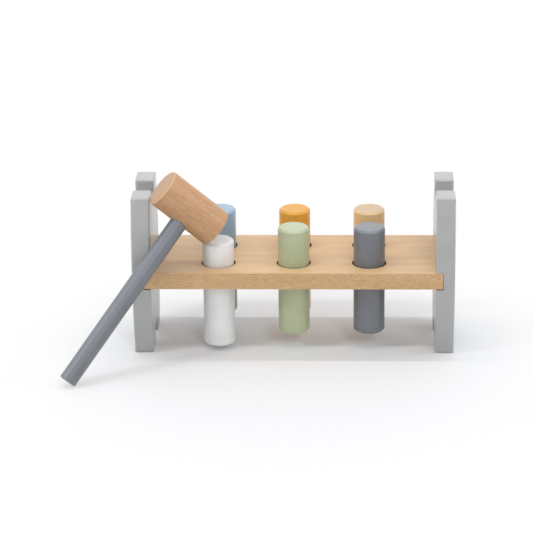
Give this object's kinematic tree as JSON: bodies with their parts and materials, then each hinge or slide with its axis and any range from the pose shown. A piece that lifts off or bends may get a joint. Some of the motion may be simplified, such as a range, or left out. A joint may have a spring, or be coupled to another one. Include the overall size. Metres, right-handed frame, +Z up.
{
  "type": "peg pounding bench",
  "caption": "Wooden hammering bench: round pegs stand in rubber-lined holes in a board between two end panels, and a wooden mallet leans on it.",
  "frame": {"origin": "middle of the underside of the box round the whole part, on the table that the bench and the mallet's foot stand on", "axes": "+X along the bench from the end with the mallet to the other end, +Y from front to back, +Z up"},
  "size_m": [0.3076, 0.1511, 0.1506],
  "materials": {
    "light_grey_satin_paint": "satin water-based paint over beech, light grey",
    "natural_beech": "sanded beech under a thin matt clear lacquer",
    "white_satin_paint": "satin water-based paint over beech, white",
    "sage_green_satin_paint": "satin water-based paint over beech, sage green",
    "slate_grey_satin_paint": "satin water-based paint over beech, slate grey",
    "blue_grey_satin_paint": "satin water-based paint over beech, blue grey",
    "ochre_satin_paint": "satin water-based paint over beech, ochre",
    "mallet_handle_paint": "satin water-based paint over beech, slate grey",
    "dowel_beech": "plain turned beech, unfinished",
    "black_rubber": "matt black rubber"
  },
  "bodies": {
    "bench": {"peg_board": "natural_beech", "left_end_panel": "light_grey_satin_paint", "right_end_panel": "light_grey_satin_paint", "left_front_dowel": "dowel_beech", "left_back_dowel": "dowel_beech", "right_front_dowel": "dowel_beech", "right_back_dowel": "dowel_beech", "white_grip_ring": "black_rubber", "green_grip_ring": "black_rubber", "dark_grey_grip_ring": "black_rubber", "blue_grip_ring": "black_rubber", "orange_grip_ring": "black_rubber", "natural_grip_ring": "black_rubber"},
    "white_peg": {"white_peg": "white_satin_paint"},
    "green_peg": {"green_peg": "sage_green_satin_paint"},
    "dark_grey_peg": {"dark_grey_peg": "slate_grey_satin_paint"},
    "blue_peg": {"blue_peg": "blue_grey_satin_paint"},
    "orange_peg": {"orange_peg": "ochre_satin_paint"},
    "natural_peg": {"natural_peg": "natural_beech"},
    "mallet": {"mallet_head": "natural_beech", "mallet_handle": "mallet_handle_paint"}
  },
  "joints": [
    {"name": "white_peg_slide", "type": "slide", "parent": "bench", "child": "white_peg", "axis": [0, 0, 1], "range_m": [-0.0044, 0.07]},
    {"name": "green_peg_slide", "type": "slide", "parent": "bench", "child": "green_peg", "axis": [0, 0, 1], "range_m": [-0.0155, 0.059]},
    {"name": "dark_grey_peg_slide", "type": "slide", "parent": "bench", "child": "dark_grey_peg", "axis": [0, 0, 1], "range_m": [-0.0155, 0.059]},
    {"name": "blue_peg_slide", "type": "slide", "parent": "bench", "child": "blue_peg", "axis": [0, 0, 1], "range_m": [-0.0165, 0.058]},
    {"name": "orange_peg_slide", "type": "slide", "parent": "bench", "child": "orange_peg", "axis": [0, 0, 1], "range_m": [-0.0165, 0.058]},
    {"name": "natural_peg_slide", "type": "slide", "parent": "bench", "child": "natural_peg", "axis": [0, 0, 1], "range_m": [-0.0165, 0.058]},
    {"name": "mallet_lift", "type": "slide", "parent": "white_peg", "child": "mallet", "axis": [0, -0.3, 0.9539], "range_m": [0, 0.15]}
  ]
}
